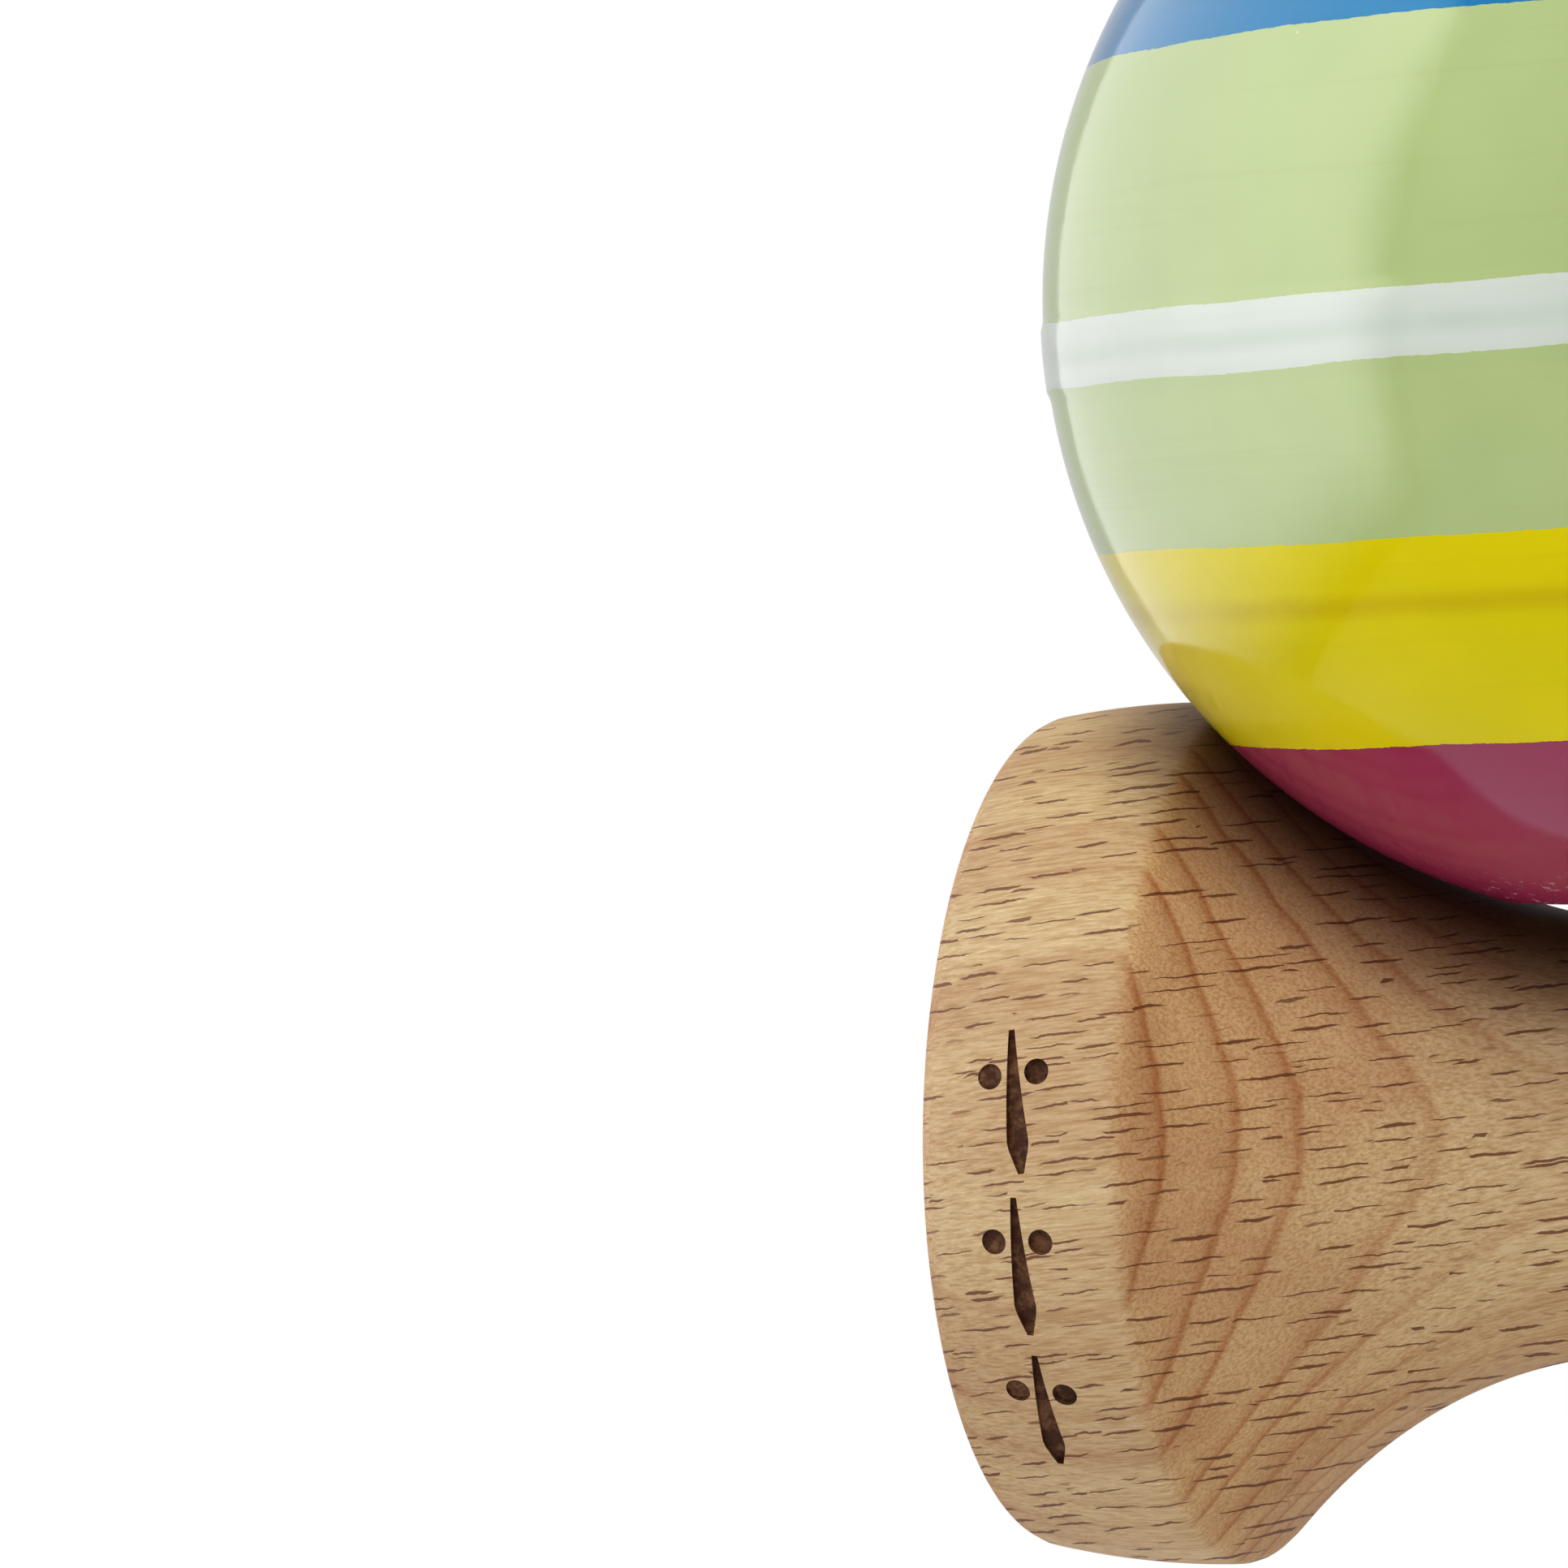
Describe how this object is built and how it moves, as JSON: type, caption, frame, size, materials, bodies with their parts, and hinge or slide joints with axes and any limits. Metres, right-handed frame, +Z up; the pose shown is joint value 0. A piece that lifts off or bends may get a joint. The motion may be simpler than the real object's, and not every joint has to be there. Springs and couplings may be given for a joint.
{
  "type": "kendama",
  "caption": "Wooden cup-and-ball toy: a turned handle with a spike and a base cup, a cross-piece with two cups, and a lacquered striped ball resting on the spike.",
  "frame": {"origin": "under the middle of the toy, at the height of the surface that it stands on", "axes": "+Z up along the handle and the spike; X along the cross-piece, with the big cup at -X; +Y towards the back, with the string hole of the cross-piece facing -Y"},
  "size_m": [0.0684, 0.06, 0.175],
  "materials": {
    "handle_beech": "bare sanded beech with short brown flecks, grain along the handle",
    "cross_piece_beech": "bare sanded beech with short brown flecks, grain along the cross-piece",
    "ball_lacquer": "gloss lacquer on wood in bands of blue, lime, white, lime, yellow and berry red, bare wood inside the hole",
    "bead_wood": "plain turned wood"
  },
  "bodies": {
    "handle": {"ken": "handle_beech"},
    "cross_piece": {"sarado": "cross_piece_beech"},
    "bead": {"tama_bead": "bead_wood"},
    "ball": {"tama": "ball_lacquer"}
  },
  "joints": [
    {"name": "cross_piece_slide", "type": "slide", "parent": "handle", "child": "cross_piece", "axis": [0, 0, 1], "range_m": [0, 0.07]},
    {"name": "ball_lift", "type": "slide", "parent": "cross_piece", "child": "bead", "axis": [0, 0, 1], "range_m": [0, 0.06]},
    {"name": "ball_spin", "type": "hinge", "parent": "bead", "child": "ball", "pos_m": [-0.001, 0, 0.14499], "axis": [-0.0363, 0.1036, 0.994], "continuous": true}
  ]
}
